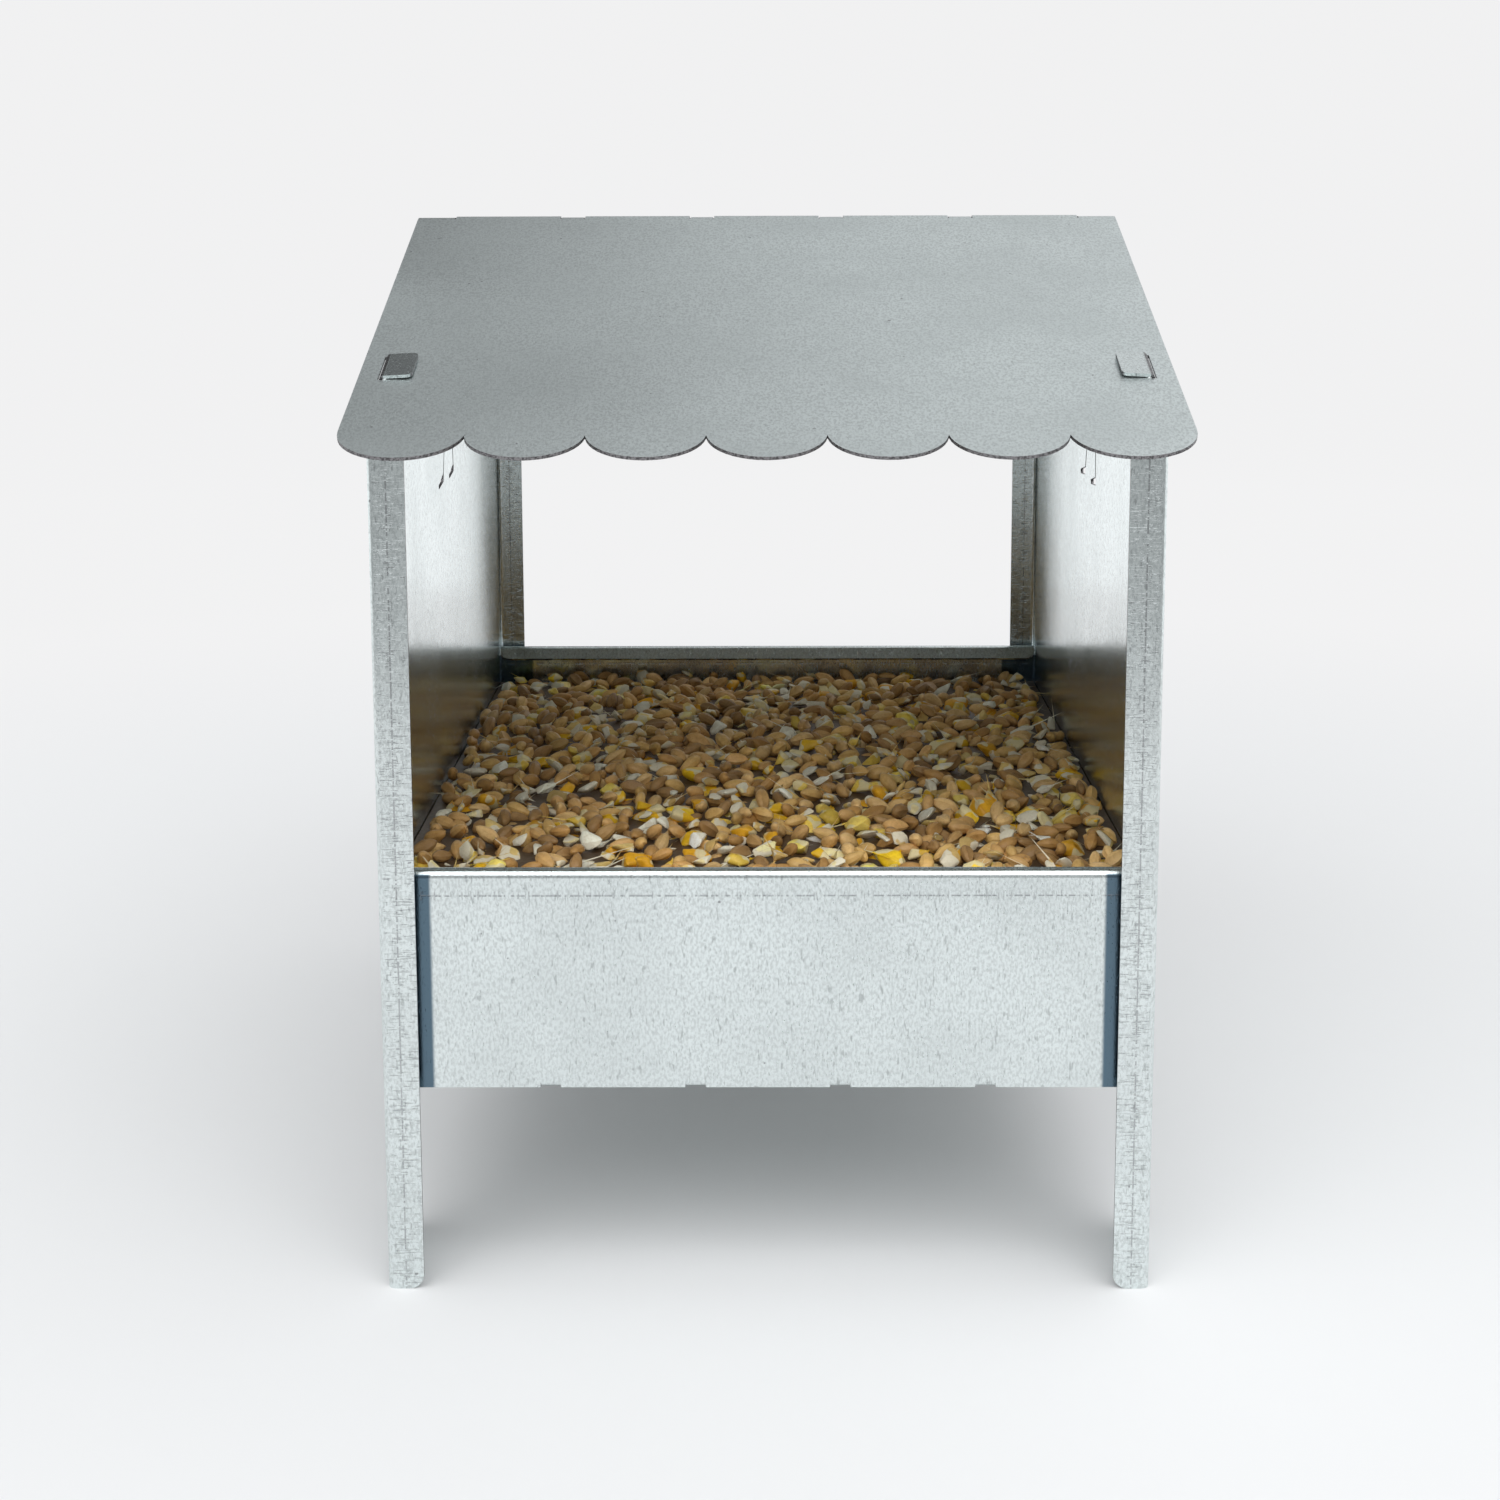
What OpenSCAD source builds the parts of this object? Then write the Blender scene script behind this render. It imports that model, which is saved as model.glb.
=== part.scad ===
// Covered tray feeder for poultry, cut and folded from galvanised sheet.
// Four folded pieces lock together: the tray's tabs stand in slots of the side panels,
// and the panels' tabs are pushed up through the roof and bent flat.
// Millimetres, +Z up, origin on the ground under the middle of the feeder.
// X runs across the front opening, Y runs from the front eave to the rear eave.

/* [Overall] */
// Width over the two side panels
body_w = 180; // [150:1:260]
// Depth over the leg flanges, front to rear
body_d = 268; // [220:1:320]
// Thickness of the galvanised sheet
sheet = 0.8; // [0.6:0.1:1.2]
// Outside radius of a pressed bend
bend_r = 2.0; // [1.6:0.1:3]

/* [Roof] */
// Width of the roof, eave corner to eave corner
roof_w = 190; // [170:1:300]
// Height of the sharp top edge of the ridge slots
ridge_z = 247.7; // [230:0.1:300]
// Pitch of each roof slope, in degrees
roof_pitch = 17.1; // [14:0.1:22]
// Distance from the ridge to the scallop tips, measured level
eave_y = 153.2; // [130:0.1:180]
// Spacing of the cusps between scallops
scallop_pitch = 26.72; // [22:0.02:36]
// Depth of a middle scallop, measured on the slope
scallop_depth = 11.6; // [6:0.1:13]
// Outside radius of the soft fold along the ridge
ridge_fold_r = 8; // [4:0.5:10]
// Length of one ridge fold slot
ridge_slot_l = 29.2; // [20:0.1:32]
// Length of a ridge bridge between two slots
ridge_bridge_l = 6; // [4:0.1:10]

/* [Side panels] */
// Width of each leg flange across the front
flange_w = 8.6; // [6:0.1:14]
// Radius of the rounded inner corner of each foot
foot_r = 3.6; // [1:0.1:6]
// Height of the arch between the front and rear leg
arch_z = 42; // [30:1:46]
// Width of each leg seen from the side, at the ground
leg_w = 34; // [20:1:45]
// Radius of the corners of the arch
arch_r = 14; // [4:1:20]
// Length of a roof tab along the slope
roof_tab_l = 13.5; // [8:0.5:20]
// How far a roof tab is bent in over the roof
roof_tab_reach = 7; // [5:0.5:12]
// Distance from the ridge to the middle of a roof tab, measured level
roof_tab_y = 104.6; // [60:0.1:108]
// How far the free end of a bent tab springs up, in degrees
tab_lift = 3; // [0:0.5:10]

/* [Feed tray] */
// Height of the underside of the tray above the ground
tray_z = 48.7; // [46:0.1:60]
// Height of the top of the rolled tray edge
tray_top_z = 101.5; // [90:0.1:120]
// Gap between the leg flanges and the tray walls
tray_setback = 2.6; // [0.3:0.1:6]
// Outside radius of the fold under each tray wall
tray_fold_r = 1.6; // [1.2:0.1:3]
// Width of the flat of the inturned lip, past its bend
lip_flat = 4.4; // [4:0.1:10]
// How far the lip slopes down towards the feed, in degrees
lip_tilt = 40; // [10:1:60]
// Radius of the corners at the ends of each lip
lip_corner_r = 3.4; // [1:0.1:3.8]
// Spacing of the bridges along each tray fold
tray_bridge_pitch = 34; // [30:0.5:40]
// Length of a bridge along a tray fold
tray_bridge_l = 4.8; // [3:0.1:8]
// Height of the bottom of the tray tabs above the ground
tray_tab_z = 64; // [60:1:70]
// Height of a tray tab
tray_tab_h = 34; // [20:1:34]

/* [Hen cut-out] */
// Height of the hen's feet above the ground
hen_foot_z = 175.3; // [165:0.1:185]
// Height of the hen, feet to comb
hen_h = 54; // [40:1:56]
// Width of the thin cuts that draw the legs
hen_leg_w = 1.3; // [1:0.1:2.5]

/* [Model] */
// Sub-part to draw
// Number of facets on a full circle
$fn = 96; // [48:8:160]

/* [Hidden] */

half_w = body_w / 2;
half_d = body_d / 2;
clearance = 0.15;               // play left between two pieces that rest together
overrun = 1;                    // how far a cutting shape runs past the face it cuts
inside_x = half_w - sheet;      // inner face of a side panel

// Roof, measured along the slope from the sharp ridge line
slope_cos = cos(roof_pitch);
v_tip = eave_y / slope_cos;
v_cusp = v_tip - scallop_depth;
v_fold = ridge_fold_r * tan(roof_pitch);
slot_gap = 0.35;                // half of the cut width left open at a fold slot
fold_inset = 0.03;              // how far a ridge bridge or the flat of a tab or lip sits inside the faces of the sheet it joins
fold_overlap = 5;               // how far a ridge bridge runs on into the sheet, in degrees
scallop_half = scallop_pitch / 2;
scallop_r = (scallop_half * scallop_half + scallop_depth * scallop_depth) / (2 * scallop_depth);
mid_scallops = 5;
last_cusp_x = mid_scallops * scallop_half;
end_span = roof_w / 2 - last_cusp_x;
end_r = end_span + scallop_depth - sqrt(2 * end_span * scallop_depth);
ridge_slots = 5;
ridge_slot_pitch = ridge_slot_l + ridge_bridge_l;
roof_under_drop = (sheet + clearance) / slope_cos;   // level drop from the roof's top face to a panel's top edge

// Tabs
tab_in_r = 0.5;                 // inside radius of a hand-bent tab
tab_corner_r = 1.6;             // rounding of a tab's free corners
tab_play = 0.35;                // play around a tab in its slot
tab_overlap = 0.1;              // how far the flat of a tab or lip runs on into its bend
tab_neck = 3;                   // length of a tab's neck below the top face of the roof
slot_feed_side = 1.6;           // extra slot width on the feed side of each tray wall
tab_shy = 0.1;                  // how far a tray tab ends short of the panel's outer face

// Feed tray
wall_y = half_d - sheet - tray_setback;   // outer face of each tray wall
tray_half_w = inside_x - 0.3;
lip_r = bend_r;
tray_bridges = 4;

// A flat shape in (Y, Z) as a sheet standing in the plane X = x0, growing towards +X
module upright(x0, thick) {
  translate([x0, 0, 0]) rotate([90, 0, 90]) linear_extrude(height = thick) children();
}

// Frame on the front roof slope: X across, Y up the slope, Z square to it, origin at level distance y0 from the ridge on the top face
module on_front_slope(y0) {
  translate([0, -y0, ridge_z - y0 * tan(roof_pitch)]) rotate([roof_pitch, 0, 0]) children();
}

// Quarter-plane wedge used to keep one sector of a bend, from angle a0 to a1 (a1 - a0 at most 150 degrees)
module sector(r, a0, a1) {
  far = 2 * r;
  mid = (a0 + a1) / 2;
  polygon([[0, 0], [far * cos(a0), far * sin(a0)], [2 * far * cos(mid), 2 * far * sin(mid)], [far * cos(a1), far * sin(a1)]]);
}

// Section of a bend of one sheet around the origin
module bend(outer, a0, a1, thick = sheet) {
  intersection() {
    difference() {
      circle(r = outer);
      circle(r = outer - thick);
    }
    sector(outer, a0, a1);
  }
}

// Rectangle with chosen corner radius at its two far corners (x = w)
module tongue(w, h, r) {
  square([w - r, h]);
  translate([0, r]) square([w, h - 2 * r]);
  translate([w - r, r]) circle(r = r);
  translate([w - r, h - r]) circle(r = r);
}

/* ---------- Roof ---------- */

// Flat shape of one slope in the slope frame: X across, -Y down the slope from the ridge
module slope_shape() {
  v_round = v_tip - end_r;
  difference() {
    union() {
      translate([-roof_w / 2, -v_round]) square([roof_w, v_round - v_fold]);
      translate([-roof_w / 2 + end_r, -v_cusp]) square([roof_w - 2 * end_r, v_cusp - v_fold]);
      for (side = [-1, 1]) translate([side * (roof_w / 2 - end_r), -v_round]) circle(r = end_r);
      for (i = [0 : mid_scallops - 1])
        translate([(i - (mid_scallops - 1) / 2) * scallop_pitch, -(v_tip - scallop_r)]) circle(r = scallop_r);
      for (i = [0 : ridge_slots - 1])
        translate([(i - ridge_slots / 2) * ridge_slot_pitch + ridge_bridge_l / 2 + slot_gap, -v_fold - overrun])
          square([ridge_slot_l - 2 * slot_gap, v_fold + overrun - slot_gap]);
    }
    for (side = [0, 1]) mirror([side, 0])
      translate([inside_x - tab_in_r - tab_play, -roof_tab_y / slope_cos - roof_tab_l / 2 - tab_play])
        square([sheet + tab_in_r + 2 * tab_play, roof_tab_l + 2 * tab_play]);
  }
}

module slope_sheet() {
  on_front_slope(0) translate([0, 0, -sheet]) linear_extrude(height = sheet) slope_shape();
}

// Soft folds that carry the two slopes over the ridge between the slots
module ridge_bridges() {
  fold_z = ridge_z - (ridge_fold_r + fold_inset) / slope_cos;
  edge = (roof_w - ridge_slots * ridge_slot_l - (ridge_slots - 1) * ridge_bridge_l) / 2;
  first = ridge_slots * ridge_slot_pitch / 2 - ridge_bridge_l / 2;
  spans = concat(
    [[-roof_w / 2, edge], [first, edge]],
    [for (i = [1 : ridge_slots - 1]) [(i - ridge_slots / 2) * ridge_slot_pitch - ridge_bridge_l / 2, ridge_bridge_l]]
  );
  for (s = spans)
    upright(s[0], s[1]) translate([0, fold_z])
      bend(ridge_fold_r, 90 - roof_pitch - fold_overlap, 90 + roof_pitch + fold_overlap, sheet - 2 * fold_inset);
}

module roof() {
  color([0.66, 0.70, 0.72]) {
    slope_sheet();
    mirror([0, 1, 0]) slope_sheet();
    ridge_bridges();
  }
}

/* ---------- Side panels ---------- */

// Plan section of a left panel: flat web with an inturned flange at each end
module panel_plan() {
  translate([-half_w, -half_d + bend_r]) square([sheet, body_d - 2 * bend_r]);
  translate([-half_w + bend_r, -half_d]) square([flange_w - bend_r, sheet]);
  translate([-half_w + bend_r, half_d - sheet]) square([flange_w - bend_r, sheet]);
  translate([-half_w + bend_r, -half_d + bend_r]) bend(bend_r, 180, 270);
  translate([-half_w + bend_r, half_d - bend_r]) bend(bend_r, 90, 180);
}

// Gable outline in (Y, Z), under the roof sheet
module gable_shape() {
  far = half_d + overrun;
  top = ridge_z - roof_under_drop;
  polygon([[-far, 0], [far, 0], [far, top - far * tan(roof_pitch)], [0, top], [-far, top - far * tan(roof_pitch)]]);
}

// Arch between the legs
module arch_shape() {
  half = half_d - leg_w;
  translate([-half, -overrun]) square([2 * half, arch_z - arch_r + overrun]);
  translate([-half + arch_r, 0]) square([2 * (half - arch_r), arch_z]);
  for (side = [-1, 1]) translate([side * (half - arch_r), arch_z - arch_r]) circle(r = arch_r);
}

// Notch that leaves a rounded corner of radius r at the origin, with the sheet in the +X +Y quadrant
module corner_notch(r) {
  difference() {
    translate([-overrun, -overrun]) square(r + overrun);
    translate([r, r]) circle(r = r);
    translate([r, -2 * overrun]) square([2 * overrun, r + 3 * overrun]);
  }
}

module foot_rounding(y0) {
  translate([-half_w + flange_w, y0 + sheet + overrun / 2, 0]) rotate([90, 0, 0])
    linear_extrude(height = sheet + overrun) mirror([1, 0]) corner_notch(foot_r);
}

// Hen facing -X: body, tail, head, comb and beak, and two thin legs with their feet on the X axis
module hen_shape() {
  u = hen_h / 54;
  scale_pts = function (pts) [for (p = pts) [p[0] * u, p[1] * u]];
  polygon(scale_pts([
    [-26, 40.5], [-21.5, 42], [-21.8, 45.5], [-19.5, 46.5], [-18.8, 50.5], [-16.6, 48.6], [-14.6, 52], [-13, 48.6],
    [-10.6, 50], [-11.2, 45], [-10, 39], [-6, 35], [0, 32.6], [8, 32.4], [14, 35], [18.5, 40], [22, 46], [25.5, 47.5],
    [28.5, 43], [27.5, 37], [29, 33], [26, 29], [24, 24.5], [19.5, 19.5], [13.5, 15.6], [7, 13.4], [-0.5, 13],
    [-7, 14.2], [-12.5, 17.4], [-16.5, 22], [-18.6, 27.5], [-19.4, 33.5], [-20.4, 35.6], [-21.8, 33.4], [-23, 36.4], [-22, 39]
  ]));
  for (leg = [[-6.4, -0.4], [16, 13.9]]) {
    foot = leg[0];
    hip = leg[1];
    w = hen_leg_w;
    polygon([[foot - w / 2, 0.6 * u], [foot + w / 2, 0.6 * u], [hip + w / 2, 16 * u], [hip - w / 2, 16 * u]]);
    polygon([[foot + 0.8 * w, 1.6 * u], [foot + w / 2, 0], [foot - 9.5 * u, -0.9 * u], [foot - 10 * u, 0.3 * u], [foot - w / 2, 2.2 * u]]);
  }
}

// Vertical slots that take the tray's tabs
module tray_slot_shape() {
  for (side = [0, 1]) mirror([side, 0])
    translate([wall_y - sheet - slot_feed_side, tray_tab_z - tab_play])
      square([sheet + slot_feed_side + tab_play, tray_tab_h + 2 * tab_play]);
}

// Roof tab of the front slope: a neck through the roof's slit, a bend, and a tongue lying on the roof
module roof_tab() {
  pivot_z = clearance - tab_in_r;
  on_front_slope(roof_tab_y) translate([-inside_x, 0, 0]) {
    translate([fold_inset - sheet, -roof_tab_l / 2, -tab_neck])
      cube([sheet - 2 * fold_inset, roof_tab_l, tab_neck + pivot_z + tab_overlap]);
    translate([tab_in_r, roof_tab_l / 2, pivot_z]) rotate([90, 0, 0])
      linear_extrude(height = roof_tab_l) bend(tab_in_r + sheet, 90 + tab_lift, 180);
    translate([tab_in_r, 0, pivot_z]) rotate([0, -tab_lift, 0])
      translate([-tab_overlap, -roof_tab_l / 2, tab_in_r + fold_inset])
        linear_extrude(height = sheet - 2 * fold_inset) tongue(roof_tab_reach - tab_in_r + tab_overlap, roof_tab_l, tab_corner_r);
  }
}

module side_panel() {
  color([0.74, 0.77, 0.78]) {
    difference() {
      intersection() {
        linear_extrude(height = ridge_z) panel_plan();
        upright(-half_w - overrun, body_w / 2) gable_shape();
      }
      upright(-half_w - overrun, flange_w) arch_shape();
      upright(-half_w - overrun, sheet + 2 * overrun) translate([0, hen_foot_z]) hen_shape();
      upright(-half_w - overrun, sheet + 2 * overrun) tray_slot_shape();
      foot_rounding(-half_d);
      foot_rounding(half_d - sheet);
    }
    roof_tab();
    mirror([0, 1, 0]) roof_tab();
  }
}

module side_panel_left() { side_panel(); }

module side_panel_right() { rotate([0, 0, 180]) side_panel(); }

/* ---------- Feed tray ---------- */

// Section of a front wall's lip in (Y, Z) around the middle of its bend: the bend and the sloping flat
module lip_section() {
  bend(lip_r, 90 - lip_tilt, 180);
  rotate(-lip_tilt) translate([-tab_overlap, lip_r - sheet + fold_inset])
    square([lip_flat + tab_overlap + overrun, sheet - 2 * fold_inset]);
}

// Outline of one half of the lip in the plane of its flat: X from the middle to the end, Y inwards from the end of the bend
module lip_outline() {
  back = 2 * lip_r;
  translate([0, -back]) square([tray_half_w - lip_corner_r, back + lip_flat]);
  translate([0, -back]) square([tray_half_w, back + lip_flat - lip_corner_r]);
  translate([tray_half_w - lip_corner_r, lip_flat - lip_corner_r]) circle(r = lip_corner_r);
}

// Front wall: sheet from the fold to the lip, with the lip's rounded ends
module tray_wall() {
  upright(-tray_half_w, 2 * tray_half_w)
    translate([-wall_y, tray_z + tray_fold_r]) square([sheet, tray_top_z - lip_r - tray_z - tray_fold_r]);
  translate([0, -wall_y + lip_r, tray_top_z - lip_r]) intersection() {
    upright(-half_w, body_w) lip_section();
    rotate([-lip_tilt, 0, 0]) translate([0, 0, -2 * lip_r]) linear_extrude(height = 4 * lip_r)
      for (side = [0, 1]) mirror([side, 0]) lip_outline();
  }
}

// Fold under the wall: bent bridges, and slots where the wall's cut edge stands on the fold line
module tray_fold() {
  pivot = [-wall_y + tray_fold_r, tray_z + tray_fold_r];
  half_pattern = (tray_bridges - 1) / 2 * tray_bridge_pitch;
  end_x = half_pattern + tray_bridge_pitch - tray_bridge_l / 2;
  spans = concat(
    [[-tray_half_w, tray_half_w - end_x], [end_x, tray_half_w - end_x]],
    [for (i = [0 : tray_bridges - 1]) [i * tray_bridge_pitch - half_pattern - tray_bridge_l / 2, tray_bridge_l]]
  );
  for (s = spans) upright(s[0], s[1]) translate(pivot) bend(tray_fold_r, 180, 270);
  for (i = [0 : tray_bridges])
    upright((i - tray_bridges / 2) * tray_bridge_pitch - (tray_bridge_pitch - tray_bridge_l) / 2, tray_bridge_pitch - tray_bridge_l) {
      translate([-wall_y, tray_z]) square([sheet, tray_fold_r + overrun]);
      translate([-wall_y + sheet + slot_gap, tray_z]) square([tray_fold_r + overrun - sheet - slot_gap, sheet]);
    }
}

// Tab of the front wall that stands in the left panel's slot and ends just inside the panel's outer face
module tray_tab() {
  translate([tab_shy - half_w, -wall_y, tray_tab_z]) cube([half_w - tab_shy - tray_half_w + overrun, sheet, tray_tab_h]);
}

module tray_side() {
  tray_wall();
  tray_fold();
  tray_tab();
  mirror([1, 0, 0]) tray_tab();
}

module feed_tray() {
  color([0.62, 0.67, 0.70]) {
    translate([-tray_half_w, -wall_y + tray_fold_r, tray_z]) cube([2 * tray_half_w, 2 * (wall_y - tray_fold_r), sheet]);
    tray_side();
    mirror([0, 1, 0]) tray_side();
  }
}

roof();
side_panel_left();
side_panel_right();
feed_tray();
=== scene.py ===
"""Zinc finishes, a tray of mixed grain and a soft studio for a poultry feeder folded from sheet metal."""

import math

import bmesh
import bpy
import numpy as np
from mathutils import Matrix, Vector


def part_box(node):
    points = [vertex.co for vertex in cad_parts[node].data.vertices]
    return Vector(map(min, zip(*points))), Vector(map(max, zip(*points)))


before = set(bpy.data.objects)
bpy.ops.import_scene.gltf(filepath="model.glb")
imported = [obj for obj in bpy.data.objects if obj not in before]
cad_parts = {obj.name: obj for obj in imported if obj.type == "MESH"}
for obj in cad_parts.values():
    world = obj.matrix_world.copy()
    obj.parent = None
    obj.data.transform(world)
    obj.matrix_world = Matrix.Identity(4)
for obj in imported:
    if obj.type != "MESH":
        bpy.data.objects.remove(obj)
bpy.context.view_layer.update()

bl_info = {
    "name": "Poultry Feeder Finishes",
    "version": (1, 0, 0),
    "blender": (4, 5, 0),
    "location": "3D View > Sidebar > Feeder",
    "description": "Zinc finishes, mixed grain and a soft studio for a folded sheet-metal poultry feeder",
    "category": "Object",
}

MM = 0.001
PANEL_LOW, PANEL_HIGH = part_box("side_panel_left")
TRAY_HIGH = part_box("feed_tray")[1]
HALF_W = -PANEL_LOW.x
HALF_D = PANEL_HIGH.y
SHEET = 0.8 * MM
LEG_EDGE = -PANEL_HIGH.x              # inner edge of a leg's flange
LEG_LINE_X = HALF_W - 4.4 * MM        # the die's line down a leg's flange
LIP_LINE_Z = TRAY_HIGH.z - 6.1 * MM   # the die's line below a lip
GRAIN_GAP = 0.2 * MM                  # left between the grain and the tray's walls
STEEPEST = math.radians(38)           # how far a kernel tips along the ground under it
MOST_MISSES = 5000                    # the pour ends after this many kernels that found no room
SINK = 0.35                           # how far a kernel sinks in, as a share of its half thickness
PACKED = 0.75                         # share of a kernel's dome on which the next one rests
SHORTEST, LONGEST = 0.6, 1.45         # lengths of kernels as shares of their kind's length
TIP_SPREAD = 0.12                     # spread of the extra slope that tips a kernel
TONE_SPREAD = 0.12                    # spread of the kernels' lightness
KEY_LIGHT_AT = (0, -1.25, 1.45)
KEY_LIGHT_TARGET = (0, 0, 0.1)
KEY_LIGHT_SIZE = (2.2, 1.4)


# ---------------------------------------------------------------- settings


class ZincSettings(bpy.types.PropertyGroup):
    """How the galvanised sheet looks."""

    tint: bpy.props.FloatVectorProperty(
        name="Zinc", description="Colour of clean zinc", subtype="COLOR",
        default=(0.79, 0.85, 0.85), min=0, max=1)
    cut_edge: bpy.props.FloatVectorProperty(
        name="Cut edge", description="Colour of the bare steel on a cut edge", subtype="COLOR",
        default=(0.30, 0.29, 0.30), min=0, max=1)
    # Painted shade: the dull blue colour that stands in for the shadow and dark reflection of each leg's
    # flange on the tray's walls.
    flange_shade: bpy.props.FloatVectorProperty(
        name="Flange shade", description="Colour painted at the ends of the tray's walls as the shade of the legs' flanges",
        subtype="COLOR", default=(0.11, 0.17, 0.22), min=0, max=1)
    roughness: bpy.props.FloatProperty(
        name="Roughness", description="Roughness of clean zinc", subtype="FACTOR", default=0.32, min=0, max=1)
    peel: bpy.props.FloatProperty(
        name="Orange peel", description="Size of the fine pebbling of the coating", unit="LENGTH",
        default=0.6 * MM, min=0.2 * MM, max=5 * MM)
    fleck_length: bpy.props.FloatProperty(
        name="Fleck length", description="Length of a dark fleck along the rolling direction", unit="LENGTH",
        default=1.5 * MM, min=0.5 * MM, max=10 * MM)
    fleck_width: bpy.props.FloatProperty(
        name="Fleck width", description="Width of a dark fleck", unit="LENGTH",
        default=0.42 * MM, min=0.1 * MM, max=3 * MM)
    die_line: bpy.props.FloatProperty(
        name="Die line", description="Width of the line that the bending die leaves", unit="LENGTH",
        default=0.28 * MM, min=0.1 * MM, max=1 * MM)


class GrainSettings(bpy.types.PropertyGroup):
    """The mixed grain shown in the tray."""

    wheat: bpy.props.FloatProperty(
        name="Wheat length", description="Length of a wheat kernel", unit="LENGTH",
        default=7.3 * MM, min=4 * MM, max=9 * MM)
    maize: bpy.props.FloatProperty(
        name="Maize length", description="Length of a cracked piece of maize", unit="LENGTH",
        default=9.2 * MM, min=3 * MM, max=11 * MM)
    front_level: bpy.props.FloatProperty(
        name="Front level", description="Height of the grain behind the front lip", unit="LENGTH",
        default=99 * MM, min=60 * MM, max=101 * MM)
    rear_level: bpy.props.FloatProperty(
        name="Rear level", description="Height of the grain at the rear wall", unit="LENGTH",
        default=93 * MM, min=60 * MM, max=101 * MM)
    depth: bpy.props.FloatProperty(
        name="Modelled depth", description="Depth of the loose kernels over the solid bed", unit="LENGTH",
        default=6.5 * MM, min=3 * MM, max=20 * MM)
    seed: bpy.props.IntProperty(name="Seed", description="Seed of the pour", default=4, min=0)


class StudioSettings(bpy.types.PropertyGroup):
    """Floor, lights and camera."""

    floor: bpy.props.FloatVectorProperty(
        name="Floor", description="Colour of the floor and backdrop", subtype="COLOR",
        default=(0.77, 0.77, 0.775), min=0, max=1)
    glow: bpy.props.FloatVectorProperty(
        name="Backdrop", description="Glow of the backdrop round the floor", subtype="COLOR",
        default=(0.875, 0.875, 0.88), min=0, max=1)
    key_power: bpy.props.FloatProperty(
        name="Key light", description="Power of the large soft light in front", unit="POWER",
        default=15.5, min=0)
    sky: bpy.props.FloatProperty(name="Sky", description="Strength of the overhead sky", default=0.48, min=0)
    lens: bpy.props.FloatProperty(
        name="Lens", description="Focal length on a sensor 36 mm wide", default=60.05, min=10, max=200)
    position: bpy.props.FloatVectorProperty(
        name="Camera", description="Place of the camera", subtype="TRANSLATION", unit="LENGTH",
        default=(-0.00005, -0.6897, 0.26825))
    pitch: bpy.props.FloatProperty(
        name="Pitch", description="How far the camera looks down", subtype="ANGLE", default=0.1627)
    yaw: bpy.props.FloatProperty(
        name="Yaw", description="How far the camera turns left", subtype="ANGLE", default=0.0068)
    roll: bpy.props.FloatProperty(
        name="Roll", description="How far the camera leans", subtype="ANGLE", default=-0.0029)
    drop: bpy.props.FloatProperty(
        name="Drop", description="Shift of the lens down, as a share of the frame",
        default=0.1333, min=0, max=0.3)


# ---------------------------------------------------------------- shader wiring


class Socket:
    """A socket of a node tree. Sums written on it add Math nodes."""

    def __init__(self, wiring, link):
        self.wiring = wiring
        self.link = link

    def maths(self, operation, *others):
        return self.wiring.node("ShaderNodeMath", {"operation": operation}, [self, *others])

    def __add__(self, other):
        return self.maths("ADD", other)

    def __mul__(self, other):
        return self.maths("MULTIPLY", other)

    def __sub__(self, other):
        return self.maths("SUBTRACT", other)

    def __rsub__(self, other):
        return self.wiring.node("ShaderNodeMath", {"operation": "SUBTRACT"}, [other, self])

    def __abs__(self):
        return self.maths("ABSOLUTE")

    def ramp(self, low, high):
        """0 up to low and 1 from high on, with a soft step between. low may be the larger."""
        return self.wiring.node(
            "ShaderNodeMapRange", {"interpolation_type": "SMOOTHSTEP"}, [self, low, high, 0.0, 1.0])

    def larger(self, other):
        return self.maths("MAXIMUM", other)

    __radd__ = __add__
    __rmul__ = __mul__


class Wiring:
    """Builds one node tree."""

    def __init__(self, tree):
        self.tree = tree

    def node(self, kind, settings=(), inputs=(), out=0):
        """Adds a node, sets its settings, then gives its sockets values or links, and returns one output."""
        made = self.tree.nodes.new(kind)
        for name, value in dict(settings).items():
            setattr(made, name, value)
        for key, value in inputs.items() if isinstance(inputs, dict) else enumerate(inputs):
            self.feed(made.inputs[key], value)
        return Socket(self, made.outputs[out])

    def feed(self, socket, value):
        if isinstance(value, Socket):
            self.tree.links.new(value.link, socket)
        else:
            socket.default_value = value

    def stretched(self, vector, sizes):
        """The vector in units of the three sizes, which a texture of scale 1 then takes as its own."""
        return self.node(
            "ShaderNodeVectorMath", {"operation": "MULTIPLY"}, [vector, tuple(1 / size for size in sizes)])

    def noise(self, vector, sizes, detail=2.0, roughness=0.5, shift=0.0):
        at = self.stretched(vector, sizes)
        if shift:
            at = self.node("ShaderNodeVectorMath", {"operation": "ADD"}, [at, (shift, shift, shift)])
        return self.node(
            "ShaderNodeTexNoise", {}, {"Vector": at, "Scale": 1.0, "Detail": detail, "Roughness": roughness})

    def blend(self, share, low, high, how="MIX"):
        settings = {"data_type": "RGBA", "blend_type": how}
        return self.node("ShaderNodeMix", settings, {0: share, 6: low, 7: high}, 2)

    def axes(self, vector):
        """The three parts of a vector."""
        split = self.node("ShaderNodeSeparateXYZ", {}, [vector])
        return [Socket(self, output) for output in split.link.node.outputs]


class Finish(Wiring):
    """A material on the usual shader."""

    def __init__(self, name, **constants):
        self.material = bpy.data.materials.new(name)
        self.material.use_nodes = True
        super().__init__(self.material.node_tree)
        self.shader = self.tree.nodes["Principled BSDF"]
        self.put(**constants)

    def put(self, **sockets):
        """Feeds the shader's sockets: Base_Color stands for Base Color."""
        for name, value in sockets.items():
            self.feed(self.shader.inputs[name.replace("_", " ")], value)


def rgba(colour, gain=1.0):
    return (*(part * gain for part in colour[:3]), 1.0)


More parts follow.
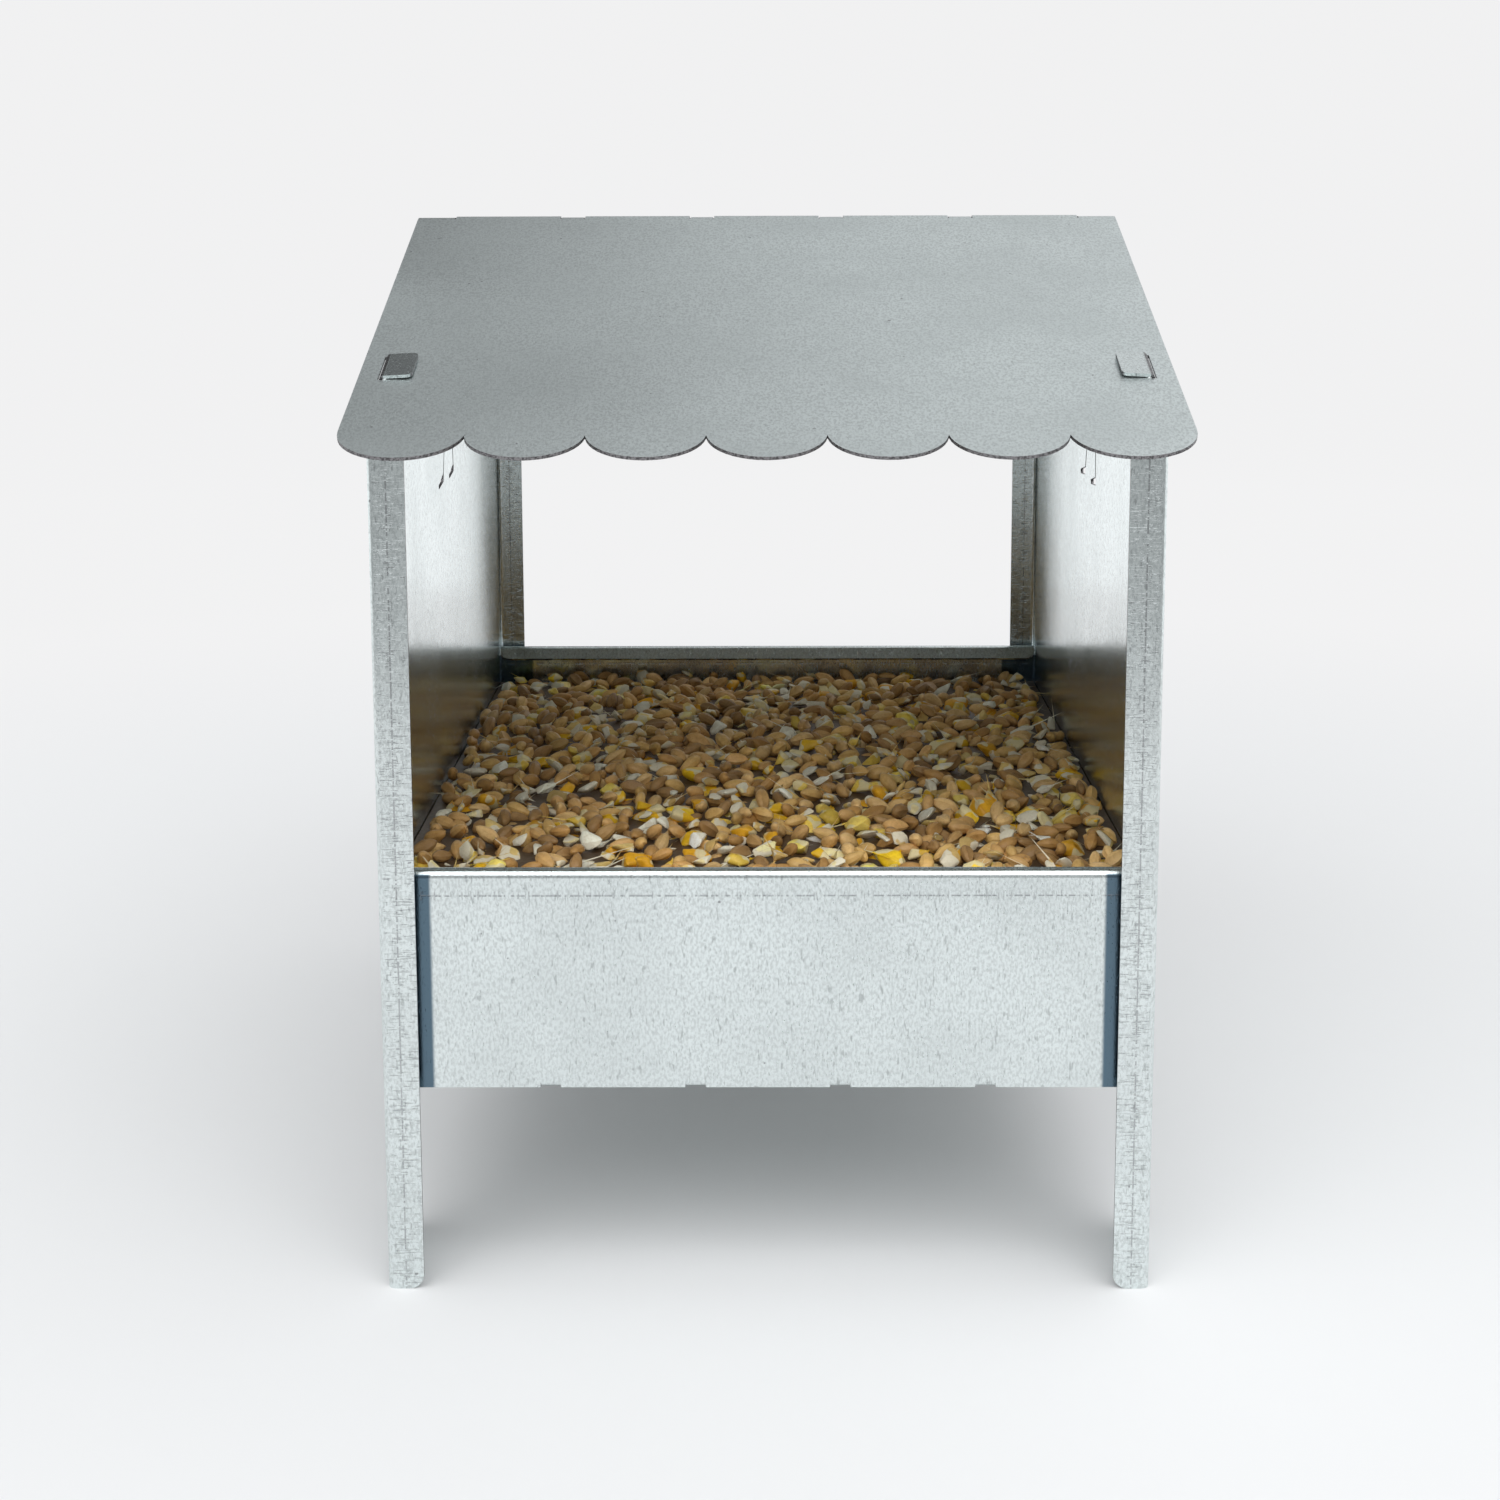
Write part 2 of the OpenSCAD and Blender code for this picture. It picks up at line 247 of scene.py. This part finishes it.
def wear(node, finish):
    """Gives a sheet-metal node its only finish."""
    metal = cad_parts[node]
    metal.data.materials.clear()
    metal.data.materials.append(finish.material)


# ---------------------------------------------------------------- zinc


def zinc_finish(name, along, cut, die, painted_shade, tone=1.0, clouds=0.07, dashing=0.5, rough=0.0):
    """Galvanised sheet. along names the axes on which a fleck is long. The three functions after along return
    the masks of the cut edges, of the die's lines and of the painted shade beside each leg's flange, from the
    place and the facing."""
    zinc = bpy.context.scene.feeder_zinc
    finish = Finish(name, Metallic=1.0, IOR=1.5)
    place = finish.node("ShaderNodeTexCoord", out="Object")
    facing = finish.node("ShaderNodeNewGeometry", out="True Normal")
    x, y, z = finish.axes(place)
    nx, ny, nz = (abs(part) for part in finish.axes(facing))
    fleck_sizes = [zinc.fleck_length if axis in along else zinc.fleck_width for axis in "xyz"]

    flecks = finish.noise(place, fleck_sizes, 2.0, 0.55).ramp(0.60, 0.74)
    dashes = finish.noise(place, [1.6 * size for size in fleck_sizes], 1.0, 0.5, 7.0).ramp(0.66, 0.72)
    peel_sizes = [zinc.peel * (1.8 if axis in along else 1.0) for axis in "xyz"]
    peel = finish.noise(place, peel_sizes, 3.0, 0.6, 3.0)
    cloud = finish.noise(place, (28 * MM,) * 3, 3.0, 0.55)
    haze = finish.noise(place, (70 * MM,) * 3, 2.0, 0.5, 11.0)
    speck = finish.noise(place, (1.5 * MM,) * 3, 0.0, 0.5, 19.0).ramp(0.86, 0.88) * 0.7
    edge = cut(x, y, z, nx, ny, nz)
    line = die(finish, place, x, y, z, nx, ny, nz)

    light = rgba(zinc.tint, tone)
    dark = rgba(zinc.tint, tone * 0.76)
    fleck_tone = rgba(zinc.tint, tone * 0.66)
    dash_tone = rgba(zinc.tint, tone * 0.42)
    mark_tone = rgba((0.20, 0.20, 0.21))
    metal = finish.blend(cloud.ramp(0.35, 0.70), light, rgba(zinc.tint, tone * (1 - clouds)))
    metal = finish.blend(peel.ramp(0.42, 0.62) * 0.85, metal, dark)
    metal = finish.blend(flecks * 0.50, metal, fleck_tone)
    metal = finish.blend(dashes * dashing, metal, dash_tone)
    # Painted shade: a dull blue strip where each leg's flange would shade and darkly mirror in the tray's
    # wall.
    metal = finish.blend(painted_shade(x, y, z, nx, ny, nz), metal, rgba(zinc.flange_shade))
    metal = finish.blend(speck.larger(line), metal, mark_tone)
    burr = finish.noise(place, (0.5 * MM,) * 3, 2.0, 0.6, 5.0).ramp(0.45, 0.60)
    steel = finish.blend(burr, rgba(zinc.cut_edge), rgba(zinc.cut_edge, 0.35))
    finish.put(Base_Color=finish.blend(edge, metal, steel))

    roughness = zinc.roughness + rough + (cloud - 0.5) * 0.12 + (haze - 0.5) * 0.16 + flecks * 0.08
    finish.put(Roughness=roughness + edge * 0.15)
    height = peel * 0.5 - flecks * 0.6 - line * 1.5 + cloud * 2.0
    bump = finish.node("ShaderNodeBump", {}, {"Strength": 1.0, "Distance": 0.035 * MM, "Height": height})
    finish.put(Normal=bump)
    return finish


def roof_cut(x, y, z, nx, ny, nz):
    return nz.ramp(0.80, 0.60)


def panel_cut(x, y, z, nx, ny, nz):
    web = abs(x).ramp(HALF_W - 1.2 * MM, HALF_W - 0.9 * MM)
    inboard = abs(x).ramp(HALF_W - 3.0 * MM, HALF_W - 5.0 * MM)
    flange_edge = nx.ramp(0.6, 0.8) * inboard
    opening_edge = nx.ramp(0.5, 0.3) * web * abs(y).ramp(HALF_D - 3 * MM, HALF_D - 5 * MM)
    return (nz.ramp(0.20, 0.35) * web).larger(flange_edge).larger(opening_edge)


def tray_cut(x, y, z, nx, ny, nz):
    return nx.ramp(0.6, 0.8)


def nowhere(*_):
    """The mask of a mark that a sheet doesn't have."""
    return 0.0


def painted_flange_shade(x, y, z, nx, ny, nz):
    """Painted shade at each end of a tray wall, beside the leg: a strip that stands in for the shadow and
    dark reflection of the leg's flange.
    """
    strip = abs(x).ramp(LEG_EDGE - 3.6 * MM, LEG_EDGE - 2.6 * MM)
    return strip * ny.ramp(0.8, 0.95)


def leg_line(finish, place, x, y, z, nx, ny, nz):
    """The line that the die presses down the middle of each leg flange, with small ticks across it."""
    width = bpy.context.scene.feeder_zinc.die_line
    off = abs(abs(x) - LEG_LINE_X)
    dots = finish.noise(place, (9 * MM, 9 * MM, 0.9 * MM), 1.0).ramp(0.36, 0.50)
    line = off.ramp(width, width * 0.3) * dots
    ticks = finish.noise(place, (4 * MM, 4 * MM, 0.50 * MM), 1.0, 0.5, 2.0).ramp(0.60, 0.66)
    ticks = ticks * off.ramp(1.3 * MM, 0.7 * MM)
    scratches = finish.noise(place, (3.5 * MM, 3.5 * MM, 0.40 * MM), 2.0, 0.6, 6.0).ramp(0.56, 0.70) * 0.40
    return (line * 0.55).larger(ticks * 0.42).larger(scratches) * ny.ramp(0.9, 0.97)


def lip_line(finish, place, x, y, z, nx, ny, nz):
    """The dotted line that the die presses below the rolled edge of each tray wall."""
    width = bpy.context.scene.feeder_zinc.die_line
    off = abs(z - LIP_LINE_Z)
    dots = finish.noise(place, (0.8 * MM, 9 * MM, 9 * MM), 1.0).ramp(0.42, 0.55)
    ticks = finish.noise(place, (0.5 * MM, 4 * MM, 4 * MM), 1.0, 0.5, 2.0).ramp(0.62, 0.68)
    ticks = ticks * off.ramp(1.4 * MM, 0.7 * MM)
    return ((off.ramp(width, width * 0.3) * dots) * 0.45).larger(ticks * 0.35) * ny.ramp(0.9, 0.97)


class FEEDER_OT_finish_roof(bpy.types.Operator):
    """Give the roof its zinc, with flecks that run down the slopes"""

    bl_idname = "feeder.finish_roof"
    bl_label = "Finish Roof"

    def execute(self, context):
        wear("roof", zinc_finish(
            "roof_zinc", "y", roof_cut, nowhere, nowhere, tone=0.95, clouds=0.10, dashing=0.15, rough=0.08))
        return {"FINISHED"}


class FEEDER_OT_finish_side_panels(bpy.types.Operator):
    """Give both side panels their zinc, with the die's line down each leg"""

    bl_idname = "feeder.finish_side_panels"
    bl_label = "Finish Side Panels"

    def execute(self, context):
        finish = zinc_finish("side_panel_zinc", "z", panel_cut, leg_line, nowhere, rough=-0.12)
        for side in ("left", "right"):
            wear(f"side_panel_{side}", finish)
        return {"FINISHED"}


class FEEDER_OT_finish_feed_tray(bpy.types.Operator):
    """Give the feed tray its zinc, with the die's line below each lip and painted shade beside each leg"""

    bl_idname = "feeder.finish_feed_tray"
    bl_label = "Finish Feed Tray"

    def execute(self, context):
        wear("feed_tray", zinc_finish(
            "feed_tray_zinc", "yz", tray_cut, lip_line, painted_flange_shade, rough=-0.09))
        return {"FINISHED"}


# ---------------------------------------------------------------- grain


def wheat_form(rings=9, sides=10):
    """A wheat kernel of half length 1 along X: points and triangles. Its crease lies along the top."""
    points = [(-1.0, 0.0, 0.0)]
    for i in range(1, rings):
        t = i / rings
        girth = math.sin(math.pi * t) ** 0.62 * (1 + 0.12 * math.cos(math.pi * t))
        for j in range(sides):
            a = 2 * math.pi * j / sides + math.pi / 2
            away = min(j, sides - j) * 2 * math.pi / sides
            crease = 1 - 0.38 * math.exp(-((away / 0.4) ** 2)) * math.sin(math.pi * t) ** 0.5
            points.append((2 * t - 1, girth * crease * math.cos(a), girth * crease * math.sin(a)))
    points.append((1.0, 0.0, 0.0))
    last = len(points) - 1
    faces = []
    for j in range(sides):
        k = (j + 1) % sides
        faces.append((0, 1 + k, 1 + j))
        for i in range(rings - 2):
            a, b = 1 + i * sides, 1 + (i + 1) * sides
            faces += [(a + j, a + k, b + k), (a + j, b + k, b + j)]
        faces.append((last, last - sides + j, last - sides + k))
    return np.array(points), np.array(faces)


def from_lowest(triangle):
    """The same triangle from its lowest corner on, so that a hull's faces can be put in one fixed order."""
    first = triangle.index(min(triangle))
    return triangle[first:] + triangle[:first]


def chip_form(rng, corners, flat=1.0):
    """A cracked piece: the hull of a few points near a unit ball, with softened edges."""
    chip = bmesh.new()
    for _ in range(corners):
        ray = rng.normal(size=3)
        ray /= np.linalg.norm(ray)
        ray[2] = math.copysign(min(abs(ray[2]) * flat, 1.0), ray[2])
        chip.verts.new(ray * rng.uniform(0.85, 1.05))
    hull = bmesh.ops.convex_hull(chip, input=chip.verts)
    spare = {v for v in hull["geom_interior"] + hull["geom_unused"] if isinstance(v, bmesh.types.BMVert)}
    bmesh.ops.delete(chip, geom=list(spare), context="VERTS")
    bmesh.ops.bevel(chip, geom=chip.edges[:], offset=0.10, segments=1, profile=0.5, affect="EDGES")
    bmesh.ops.triangulate(chip, faces=chip.faces[:])
    chip.verts.ensure_lookup_table()
    points = np.array([v.co[:] for v in chip.verts])
    faces = np.array(sorted(from_lowest([v.index for v in f.verts]) for f in chip.faces))
    chip.free()
    return points, faces


class Heap:
    """A height map of the grain, on which kernels are set down one at a time."""

    CELL = 0.5 * MM

    def __init__(self, half_x, half_y, level, depth):
        self.half_x, self.half_y, self.level = half_x, half_y, level
        self.across = int(2 * half_x / self.CELL)
        self.along = int(2 * half_y / self.CELL)
        self.xs = (np.arange(self.across) + 0.5) * self.CELL - half_x
        self.ys = (np.arange(self.along) + 0.5) * self.CELL - half_y
        self.top = np.array([[level(x, y) - depth for y in self.ys] for x in self.xs])

    def spot(self, rng, a, b, c):
        """Tries one random place for an ellipsoid: height, x, y, turn, cells, dome, rise along and across."""
        turn = rng.uniform(0, 2 * math.pi)
        cos, sin = math.cos(turn), math.sin(turn)
        reach = math.hypot(a * cos, b * sin), math.hypot(a * sin, b * cos)
        x = rng.uniform(reach[0] - self.half_x, self.half_x - reach[0])
        y = rng.uniform(reach[1] - self.half_y, self.half_y - reach[1])
        i0, i1 = np.searchsorted(self.xs, (x - reach[0], x + reach[0]))
        j0, j1 = np.searchsorted(self.ys, (y - reach[1], y + reach[1]))
        dx, dy = self.xs[i0:i1, None] - x, self.ys[None, j0:j1] - y
        u = (dx * cos + dy * sin) / a
        v = (dy * cos - dx * sin) / b
        inside = 1 - u * u - v * v
        dome = c * np.sqrt(np.clip(inside, 0, 1))
        under = np.where(inside > 0, self.top[i0:i1, j0:j1] + dome, -1.0)
        ground = self.top[i0:i1, j0:j1]
        weight = inside > 0
        count = max(weight.sum(), 1)
        rise_u = (ground * u * weight).sum() / max((u * u * weight).sum(), 1e-9) / a
        rise_v = (ground * v * weight).sum() / max((v * v * weight).sum(), 1e-9) / b
        rise_u -= (ground * weight).sum() / count * (u * weight).sum() / max((u * u * weight).sum(), 1e-9) / a
        rise_v -= (ground * weight).sum() / count * (v * weight).sum() / max((v * v * weight).sum(), 1e-9) / b
        return under.max(), x, y, turn, (slice(i0, i1), slice(j0, j1)), dome, rise_u, rise_v

    def settle(self, rng, a, b, c, tries=3):
        """Sets a kernel down at the lowest of a few places, or returns None if it would stand too high."""
        height, x, y, turn, cells, dome, rise_u, rise_v = min(
            (self.spot(rng, a, b, c) for _ in range(tries)),
            key=lambda found: found[0] - self.level(found[1], found[2]))
        height -= SINK * c
        if height + c > self.level(x, y) + rng.uniform(-1.0, 1.0) * MM:
            return None
        raised = np.maximum(self.top[cells], height + PACKED * dome)
        self.top[cells] = np.where(dome > 0, raised, self.top[cells])
        return x, y, height, turn, rise_u, rise_v


def tilted(turn, rise_u, rise_v, roll):
    """Turns a kernel about Z, tips it along the ground under it and rolls it about its length."""
    up_u = max(-STEEPEST, min(STEEPEST, math.atan(rise_u)))
    up_v = max(-STEEPEST, min(STEEPEST, math.atan(rise_v)))
    tipped = Matrix.Rotation(turn, 3, "Z") @ Matrix.Rotation(-up_u, 3, "Y")
    return np.array(tipped @ Matrix.Rotation(up_v + roll, 3, "X"))


def merged(name, parts, finish):
    """One mesh of many coloured forms: parts holds (points, triangles, colour)."""
    sizes = [len(points) for points, _, _ in parts]
    starts = np.cumsum([0, *sizes[:-1]])
    points = np.concatenate([points for points, _, _ in parts])
    faces = np.concatenate([faces + start for (_, faces, _), start in zip(parts, starts)])
    tones = np.repeat([(*colour, 1.0) for _, _, colour in parts], sizes, axis=0)
    mesh = bpy.data.meshes.new(name)
    mesh.vertices.add(len(points))
    mesh.vertices.foreach_set("co", points.astype(np.float32).ravel())
    mesh.loops.add(faces.size)
    mesh.loops.foreach_set("vertex_index", faces.astype(np.int32).ravel())
    mesh.polygons.add(len(faces))
    mesh.polygons.foreach_set("loop_start", np.arange(0, faces.size, 3, dtype=np.int32))
    mesh.polygons.foreach_set("use_smooth", np.ones(len(faces), bool))
    mesh.update(calc_edges=True)
    mesh.color_attributes.new(name="tone", type="FLOAT_COLOR", domain="POINT")
    mesh.color_attributes["tone"].data.foreach_set("color", tones.astype(np.float32).ravel())
    mesh.set_sharp_from_angle(angle=math.radians(32))
    mesh.materials.append(finish.material)
    made = bpy.data.objects.new(name, mesh)
    bpy.context.scene.collection.objects.link(made)
    return made


def grain_finish(name, crumb, crumb_share, gloss):
    """Kernel skin in its own colour, worn through to the crumb inside where crumb_share is above 0."""
    finish = Finish(name, IOR=1.45)
    place = finish.node("ShaderNodeTexCoord", out="Object")
    tone = finish.node("ShaderNodeVertexColor", {"layer_name": "tone"})
    mottle = finish.noise(place, (1.6 * MM,) * 3, 3.0, 0.6)
    fine = finish.noise(place, (0.5 * MM,) * 3, 2.0, 0.6, 4.0)
    broken = finish.noise(place, (4.2 * MM,) * 3, 1.0, 0.5, 9.0).ramp(0.62 - crumb_share, 0.66 - crumb_share)
    skin = finish.blend(mottle.ramp(0.35, 0.7) * 0.30, tone, (0.55, 0.40, 0.22, 1.0), "MULTIPLY")
    skin = finish.blend(broken * (0.9 if crumb_share else 0.0), skin, rgba(crumb))
    skin = finish.blend(fine.ramp(0.5, 0.8) * 0.30, skin, (0.60, 0.48, 0.32, 1.0), "MULTIPLY")
    finish.put(Base_Color=skin, Roughness=gloss + mottle * 0.2)
    finish.put(Normal=finish.node(
        "ShaderNodeBump", {}, {"Strength": 0.6, "Distance": 0.15 * MM, "Height": mottle + fine * 0.4}))
    return finish


GRAIN_MIX = (
    # kind, share of the pour, length, width and thickness as shares of the kind's length, colours
    ("wheat", 0.50, (1.0, 0.50, 0.46), (
        (0.66, 0.40, 0.15), (0.50, 0.28, 0.09), (0.78, 0.52, 0.22), (0.36, 0.21, 0.08), (0.72, 0.46, 0.16))),
    ("maize", 0.28, (1.0, 0.80, 0.52), (
        (0.92, 0.56, 0.02), (0.84, 0.44, 0.02), (0.95, 0.72, 0.16), (0.90, 0.64, 0.10))),
    ("crumb", 0.22, (0.92, 0.74, 0.36), (
        (0.90, 0.78, 0.42), (0.84, 0.62, 0.22), (0.95, 0.92, 0.76), (0.72, 0.50, 0.18))),
)


class FEEDER_OT_pour_grain(bpy.types.Operator):
    """Pour mixed grain into the tray, as a stage prop that isn't part of the feeder"""

    bl_idname = "feeder.pour_grain"
    bl_label = "Pour Grain"

    def execute(self, context):
        grain = context.scene.feeder_grain
        rng = np.random.default_rng(grain.seed)
        half_x = HALF_W - SHEET - GRAIN_GAP
        half_y = TRAY_HIGH.y - SHEET - GRAIN_GAP

        def level(x, y):
            share = (y + half_y) / (2 * half_y)
            hump = 1.5 * MM * math.cos(x / half_x * math.pi / 2) * math.sin(share * math.pi)
            return grain.front_level + (grain.rear_level - grain.front_level) * share + hump

        heap = Heap(half_x, half_y, level, grain.depth)
        forms = {
            "wheat": [wheat_form()],
            "maize": [chip_form(rng, corners) for corners in (12, 14, 16, 18, 22, 26)],
            "crumb": [chip_form(rng, corners, 0.8) for corners in (9, 10, 11, 12, 14)],
        }
        lengths = {"wheat": grain.wheat, "maize": grain.maize, "crumb": grain.maize}
        parts = {kind: [] for kind, *_ in GRAIN_MIX}
        shares = [share for _, share, *_ in GRAIN_MIX]
        misses = 0
        while misses < MOST_MISSES:
            kind, _, girth, colours = GRAIN_MIX[rng.choice(len(GRAIN_MIX), p=shares)]
            length = lengths[kind] * rng.normal(1.0, 0.10 if kind == "wheat" else 0.22) / 2
            length = min(max(length, SHORTEST * lengths[kind] / 2), LONGEST * lengths[kind] / 2)
            a, b, c = (length * share for share in girth)
            found = heap.settle(rng, a, b, c)
            if found is None:
                misses += 1
                continue
            x, y, height, turn, rise_u, rise_v = found
            roll = rng.uniform(0, 2 * math.pi) if kind == "wheat" else rng.normal(0, 0.25)
            points, faces = forms[kind][rng.integers(len(forms[kind]))]
            spin = tilted(turn, rise_u + rng.normal(0, TIP_SPREAD), rise_v + rng.normal(0, TIP_SPREAD), roll)
            colour = np.array(colours[rng.integers(len(colours))]) * rng.normal(1.0, TONE_SPREAD)
            parts[kind].append(((points * (a, b, c)) @ spin.T + (x, y, height), faces, np.clip(colour, 0, 1)))
        skins = {
            "wheat": grain_finish("wheat_skin", (0.7, 0.6, 0.4), 0.0, 0.38),
            "maize": grain_finish("maize_skin", (0.78, 0.68, 0.40), 0.10, 0.30),
            "crumb": grain_finish("maize_crumb", (0.80, 0.74, 0.58), 0.14, 0.55),
        }
        for kind in parts:
            merged(f"grain_{kind}", parts[kind], skins[kind])
        bed = grain_shade_bed(half_x, half_y, level, 0.6 * grain.depth, skins["wheat"])
        return {"FINISHED"}


def grain_shade_bed(half_x, half_y, level, depth, finish, steps=24):
    """A bed under the loose kernels, which stands for the grain below, painted near black brown as the shade
    in the gaps between the kernels.
    """
    points = []
    for i in range(steps + 1):
        for j in range(steps + 1):
            x, y = (2 * i / steps - 1) * half_x, (2 * j / steps - 1) * half_y
            points.append((x, y, level(x, y) - depth))
    faces = []
    for i in range(steps):
        for j in range(steps):
            a = i * (steps + 1) + j
            faces += [(a, a + steps + 1, a + steps + 2), (a, a + steps + 2, a + 1)]
    # Painted shade: the bed's colour is darker than any kernel, to fill the gaps between the kernels with
    # shade.
    return merged("grain_shade_bed", [(np.array(points), np.array(faces), (0.10, 0.06, 0.03))], finish)


# ---------------------------------------------------------------- studio


def turned_sheet(name, profile, sides=96):
    """A sheet turned about Z from a profile of (radius, height); a first radius of 0 closes its middle."""
    sheet = bmesh.new()
    loops = []
    for radius, z in profile:
        turns = [2 * math.pi * j / sides for j in range(sides)] if radius else [0.0]
        ring = [(radius * math.cos(turn), radius * math.sin(turn), z) for turn in turns]
        loops.append([sheet.verts.new(corner) for corner in ring])
    for low, high in zip(loops, loops[1:]):
        for j in range(sides):
            k = (j + 1) % sides
            corners = (low[0], high[j], high[k]) if len(low) == 1 else (low[j], high[j], high[k], low[k])
            sheet.faces.new(corners).smooth = True
    mesh = bpy.data.meshes.new(name)
    sheet.to_mesh(mesh)
    sheet.free()
    made = bpy.data.objects.new(name, mesh)
    bpy.context.scene.collection.objects.link(made)
    return made


def paper_finish(colour, lit_radius, glow):
    """Pale paper under the feeder, which passes into an even glow further out."""
    finish = Finish("studio_paper", Roughness=0.9, Specular_IOR_Level=0.1, Emission_Strength=1.0)
    place = finish.node("ShaderNodeTexCoord", out="Object")
    reach = finish.node("ShaderNodeVectorMath", {"operation": "LENGTH"}, [place], 1)
    lit = reach.ramp(lit_radius, lit_radius * 0.45)
    finish.put(Base_Color=finish.blend(lit, (0.0, 0.0, 0.0, 1.0), rgba(colour)))
    finish.put(Emission_Color=finish.blend(lit, rgba(glow), (0.0, 0.0, 0.0, 1.0)))
    return finish


def studio_sky(strength):
    """What the zinc mirrors: bright low behind the feeder, dim above that, bright overhead."""
    world = bpy.data.worlds.new("studio_sky")
    world.use_nodes = True
    bpy.context.scene.world = world
    sky = Wiring(world.node_tree)
    x, y, z = sky.axes(sky.node("ShaderNodeTexCoord", out="Generated"))
    behind = y.ramp(-0.15, 0.25)
    low = z.ramp(0.08, -0.04)
    high = z.ramp(0.55, 0.95)
    band = z.ramp(0.30, 0.60)
    side = x.ramp(-0.20, 0.12)
    rear = low * 2.25 + (1.0 - low) * (0.21 + side * 1.20)
    front = 0.90 + band * 1.7
    level = behind * rear + (1.0 - behind) * front + high * 0.5
    background = world.node_tree.nodes["Background"]
    sky.feed(background.inputs["Color"], (0.97, 0.99, 1.0, 1.0))
    sky.feed(background.inputs["Strength"], level * strength)


def soft_box(name, place, target, size, power):
    lamp = bpy.data.lights.new(name, "AREA")
    lamp.shape = "RECTANGLE"
    lamp.size, lamp.size_y = size
    lamp.energy = power
    made = bpy.data.objects.new(name, lamp)
    bpy.context.scene.collection.objects.link(made)
    made.location = place
    made.rotation_euler = (Vector(target) - Vector(place)).to_track_quat("-Z", "Y").to_euler()
    return made


def studio_camera(studio):
    """The camera, turned by its yaw, pitch and roll, with the lens shifted down."""
    level_right = Vector((math.cos(studio.yaw), math.sin(studio.yaw), 0))
    level_ahead = Vector((-math.sin(studio.yaw), math.cos(studio.yaw), 0))
    up = Vector((0, 0, 1))
    ahead = level_ahead * math.cos(studio.pitch) - up * math.sin(studio.pitch)
    upright = level_ahead * math.sin(studio.pitch) + up * math.cos(studio.pitch)
    right = level_right * math.cos(studio.roll) + upright * math.sin(studio.roll)
    top = upright * math.cos(studio.roll) - level_right * math.sin(studio.roll)
    lens = bpy.data.cameras.new("studio_camera")
    lens.lens = studio.lens
    lens.sensor_width = 36
    lens.shift_y = -studio.drop
    camera = bpy.data.objects.new("studio_camera", lens)
    turned = Matrix((right, top, -ahead)).transposed()
    camera.matrix_world = Matrix.Translation(studio.position) @ turned.to_4x4()
    bpy.context.scene.collection.objects.link(camera)
    bpy.context.scene.camera = camera


class FEEDER_OT_build_studio(bpy.types.Operator):
    """Set the pale floor, the soft lights and the camera"""

    bl_idname = "feeder.build_studio"
    bl_label = "Build Studio"

    def execute(self, context):
        studio = context.scene.feeder_studio
        rim, corner, top = 0.8, 0.5, 0.9
        bend = [math.pi / 2 * i / 12 for i in range(13)]
        wall = [(rim + corner * (1 + math.sin(a)), corner * (1 - math.cos(a))) for a in bend]
        paper = paper_finish(studio.floor, rim, studio.glow)
        floor = turned_sheet("studio_floor", [(rim * i / 8, 0.0) for i in range(9)])
        surround = turned_sheet("studio_surround", [(rim, 0.0), *wall, (wall[-1][0], top)])
        surround.visible_glossy = False
        for sheet in (floor, surround):
            sheet.data.materials.append(paper.material)
        studio_sky(studio.sky)
        soft_box("key_light", KEY_LIGHT_AT, KEY_LIGHT_TARGET, KEY_LIGHT_SIZE, studio.key_power)
        studio_camera(studio)
        context.scene.view_settings.view_transform = "Standard"
        return {"FINISHED"}


# ---------------------------------------------------------------- panel


class FEEDER_PT_finishes(bpy.types.Panel):
    """Finishes of the poultry feeder"""

    bl_label = "Poultry Feeder"
    bl_space_type = "VIEW_3D"
    bl_region_type = "UI"
    bl_category = "Feeder"

    def draw(self, context):
        for settings, operators in PANEL_ROWS:
            group = getattr(context.scene, settings)
            column = self.layout.column()
            for name in type(group).__annotations__:
                column.prop(group, name)
            for operator in operators:
                column.operator(operator.bl_idname)


PANEL_ROWS = (
    ("feeder_zinc", (FEEDER_OT_finish_roof, FEEDER_OT_finish_side_panels, FEEDER_OT_finish_feed_tray)),
    ("feeder_grain", (FEEDER_OT_pour_grain,)),
    ("feeder_studio", (FEEDER_OT_build_studio,)),
)
SETTINGS = {"feeder_zinc": ZincSettings, "feeder_grain": GrainSettings, "feeder_studio": StudioSettings}
OPERATORS = [operator for _, operators in PANEL_ROWS for operator in operators]
CLASSES = (*SETTINGS.values(), *OPERATORS, FEEDER_PT_finishes)


def register():
    for made in CLASSES:
        bpy.utils.register_class(made)
    for name, group in SETTINGS.items():
        setattr(bpy.types.Scene, name, bpy.props.PointerProperty(type=group))


def unregister():
    for name in SETTINGS:
        delattr(bpy.types.Scene, name)
    for made in reversed(CLASSES):
        bpy.utils.unregister_class(made)


def main():
    register()
    bpy.ops.feeder.finish_roof()
    bpy.ops.feeder.finish_side_panels()
    bpy.ops.feeder.finish_feed_tray()
    bpy.ops.feeder.pour_grain()
    bpy.ops.feeder.build_studio()


if __name__ == "__main__":
    main()
